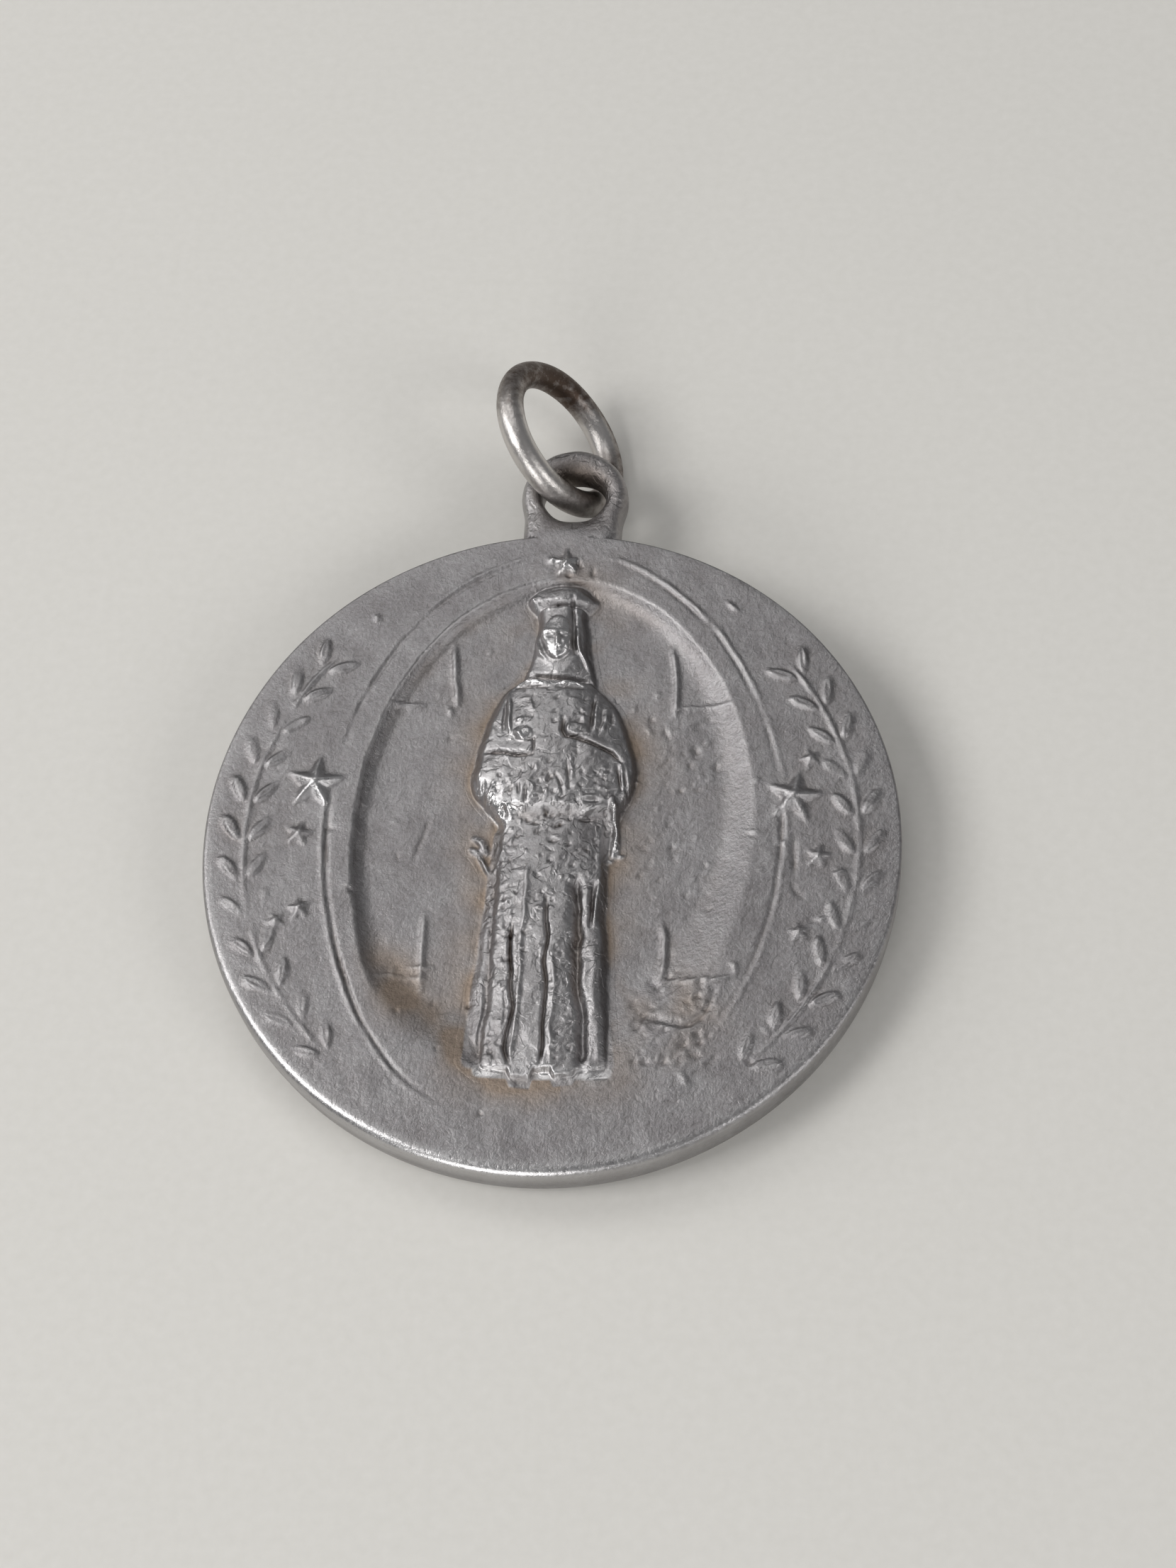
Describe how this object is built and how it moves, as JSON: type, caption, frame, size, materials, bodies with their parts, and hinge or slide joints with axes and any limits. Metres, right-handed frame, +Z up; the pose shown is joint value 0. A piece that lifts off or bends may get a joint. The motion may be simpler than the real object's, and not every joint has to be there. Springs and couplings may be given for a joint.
{
  "type": "religious medal pendant",
  "caption": "Round struck devotional medal with a robed, crowned figure in a sunken oval, starred laurel border, eyelet and a jump ring through it.",
  "frame": {"origin": "centre of the foot of the bounding box, on the surface that the medal lies on", "axes": "+Y towards the eyelet and the jump ring, +Z up out of the picture side, +X to the right of the figure as it is seen"},
  "size_m": [0.025, 0.033, 0.0054],
  "materials": {
    "aged_silver": "struck white metal, worn and softly matt, brown tarnish in the hollows, burnished on the edges",
    "tarnished_wire": "drawn silver-toned wire, dark brown tarnish with bright rubbed patches"
  },
  "bodies": {
    "root": {"medal": "aged_silver", "jump_ring": "tarnished_wire"}
  },
  "joints": []
}
